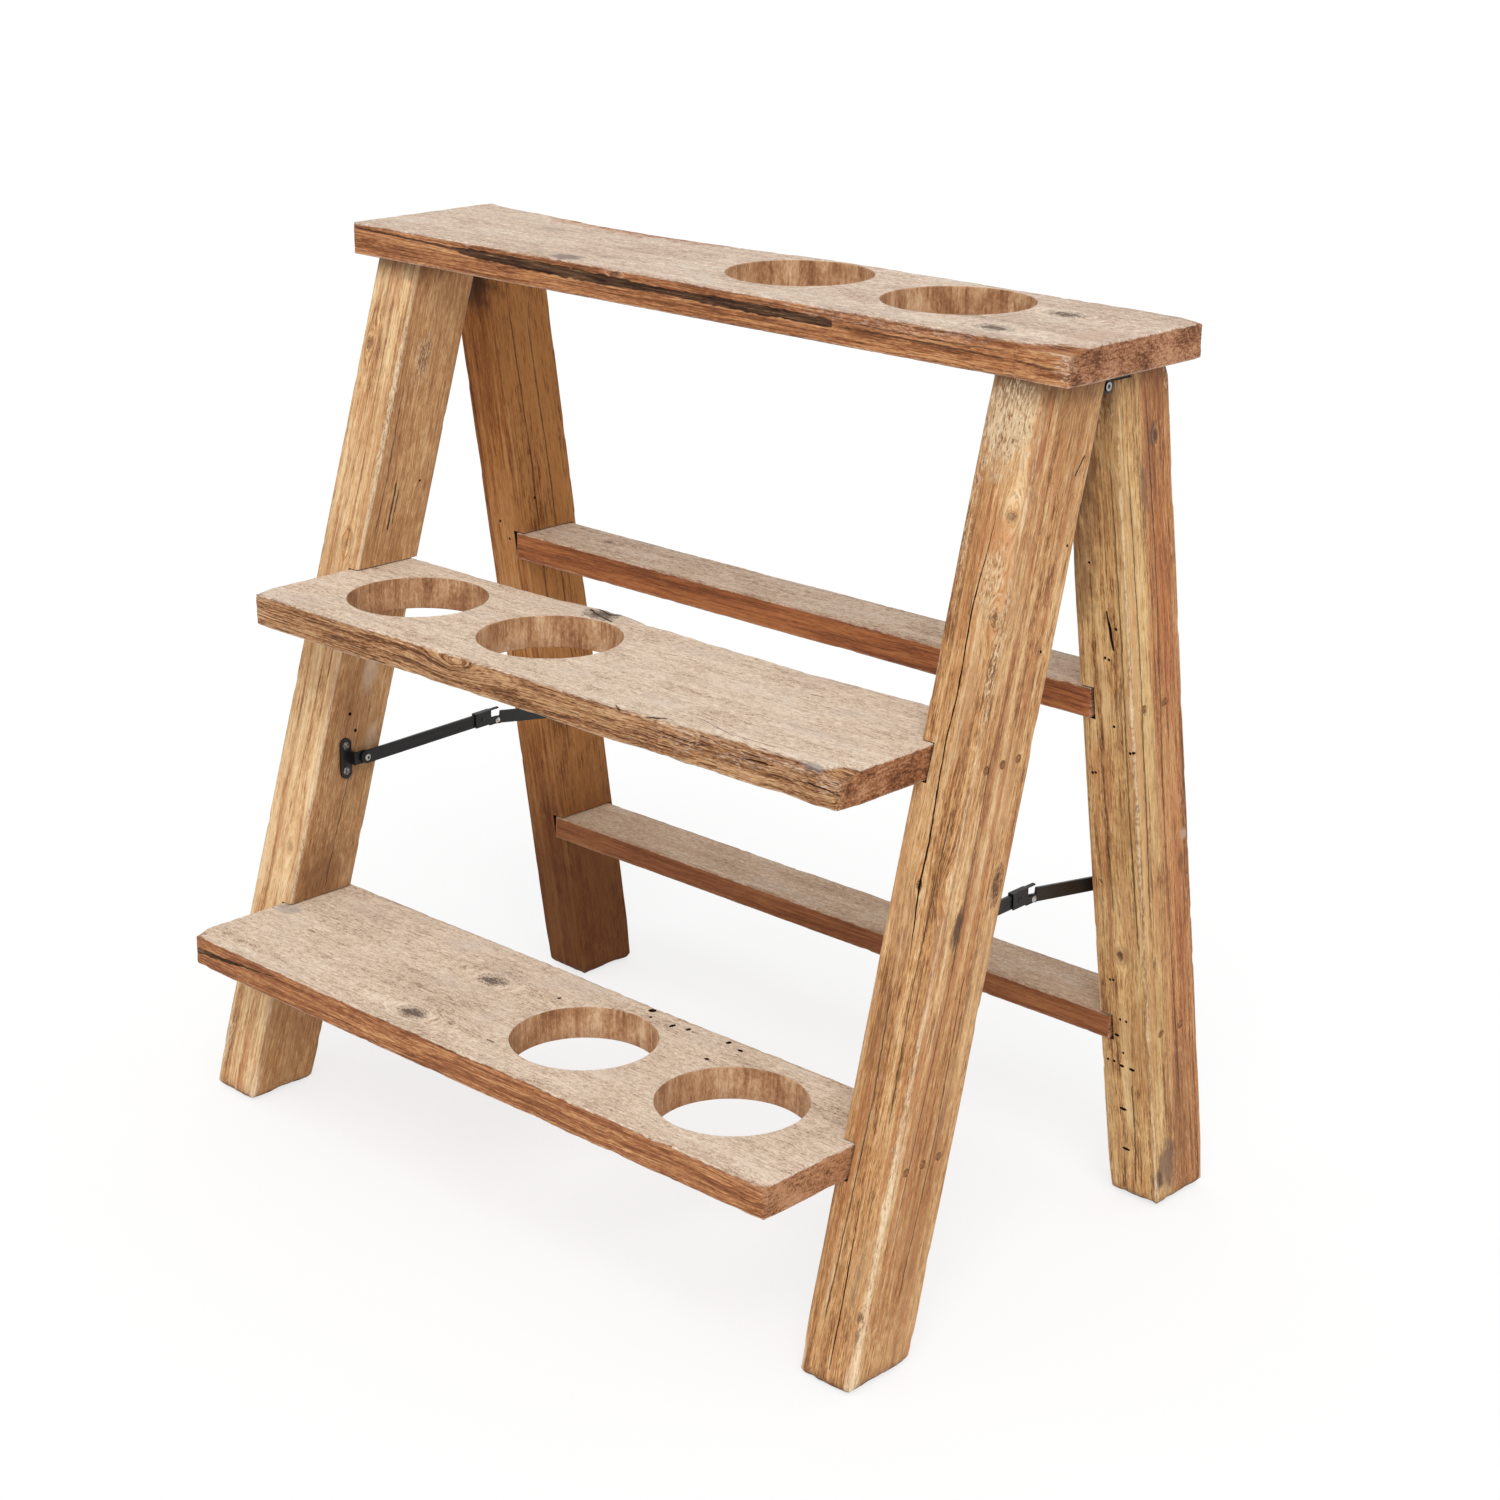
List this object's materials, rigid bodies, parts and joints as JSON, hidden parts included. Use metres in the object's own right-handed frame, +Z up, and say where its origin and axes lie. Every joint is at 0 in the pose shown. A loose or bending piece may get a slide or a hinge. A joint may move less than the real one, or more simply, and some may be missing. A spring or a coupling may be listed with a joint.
{
  "type": "plant ladder stand",
  "caption": "Folding wooden A-frame ladder stand for plants: boards with round pot holes on a front frame, a hinged rear frame and steel folding stays.",
  "frame": {"origin": "on the floor, at the centre of the floor outline of the open stand", "axes": "+X along the boards to the right as seen from the steps, -Y towards the side with the steps, +Z up"},
  "size_m": [0.7, 0.4692, 0.68],
  "materials": {
    "weathered_board": "weathered, dry, open grain",
    "rung_wood": "brushed, open grain",
    "stile_wood": "brushed, open grain with pale worn edges",
    "plug_wood": "end grain, flush",
    "dark_nail": "dark, oxidised",
    "black_steel": "satin black",
    "bright_steel": "zinc plated"
  },
  "bodies": {
    "front_frame": {"top_board": "weathered_board", "middle_step": "weathered_board", "bottom_step": "weathered_board", "front_left_stile": "stile_wood", "front_right_stile": "stile_wood", "top_board_screws": "bright_steel", "top_board_plugs": "plug_wood", "middle_step_nails": "dark_nail", "bottom_step_nails": "dark_nail", "left_hinge_front_leaf": "black_steel", "left_hinge_pin": "bright_steel", "left_hinge_front_screws": "black_steel", "left_stay_front_bracket": "black_steel", "left_stay_front_screws": "bright_steel", "left_stay_front_rivet": "bright_steel", "right_hinge_front_leaf": "black_steel", "right_hinge_pin": "bright_steel", "right_hinge_front_screws": "black_steel", "right_stay_front_bracket": "black_steel", "right_stay_front_screws": "bright_steel", "right_stay_front_rivet": "bright_steel"},
    "rear_frame": {"upper_rung": "rung_wood", "lower_rung": "rung_wood", "rear_left_stile": "stile_wood", "rear_right_stile": "stile_wood", "upper_rung_nails": "dark_nail", "lower_rung_nails": "dark_nail", "left_hinge_rear_leaf": "black_steel", "left_hinge_rear_screws": "black_steel", "left_stay_rear_bracket": "black_steel", "left_stay_rear_screws": "bright_steel", "right_hinge_rear_leaf": "black_steel", "right_hinge_rear_screws": "black_steel", "right_stay_rear_bracket": "black_steel", "right_stay_rear_screws": "bright_steel"},
    "left_front_link": {"left_stay_front_link": "black_steel", "left_stay_clip": "black_steel", "left_stay_clip_rivet": "black_steel", "left_stay_knuckle_pin": "bright_steel"},
    "left_rear_link": {"left_stay_rear_link": "black_steel", "left_stay_rear_rivet": "bright_steel"},
    "right_front_link": {"right_stay_front_link": "black_steel", "right_stay_clip": "black_steel", "right_stay_clip_rivet": "black_steel", "right_stay_knuckle_pin": "bright_steel"},
    "right_rear_link": {"right_stay_rear_link": "black_steel", "right_stay_rear_rivet": "bright_steel"}
  },
  "joints": [
    {"name": "rear_frame_fold", "type": "hinge", "parent": "front_frame", "child": "rear_frame", "pos_m": [0, 0.06197, 0.643], "axis": [-1, 0, 0], "range_deg": [0, 24]},
    {"name": "left_front_link_swing", "type": "hinge", "parent": "front_frame", "child": "left_front_link", "pos_m": [0, -0.07208, 0.2695], "axis": [1, 0, 0], "range_deg": [0, 29.2]},
    {"name": "left_rear_link_fold", "type": "hinge", "parent": "left_front_link", "child": "left_rear_link", "pos_m": [0, 0.06692, 0.268], "axis": [-1, 0, 0], "range_deg": [0, 139]},
    {"name": "right_front_link_swing", "type": "hinge", "parent": "front_frame", "child": "right_front_link", "pos_m": [0, -0.07208, 0.2695], "axis": [1, 0, 0], "range_deg": [0, 29.2]},
    {"name": "right_rear_link_fold", "type": "hinge", "parent": "right_front_link", "child": "right_rear_link", "pos_m": [0, 0.06692, 0.268], "axis": [-1, 0, 0], "range_deg": [0, 139]}
  ],
  "couplings": [
    {"joint": "left_front_link_swing", "follows": "rear_frame_fold", "ratio": 1.2113},
    {"joint": "left_rear_link_fold", "follows": "rear_frame_fold", "ratio": 5.7873},
    {"joint": "right_front_link_swing", "follows": "rear_frame_fold", "ratio": 1.2113},
    {"joint": "right_rear_link_fold", "follows": "rear_frame_fold", "ratio": 5.7873}
  ]
}
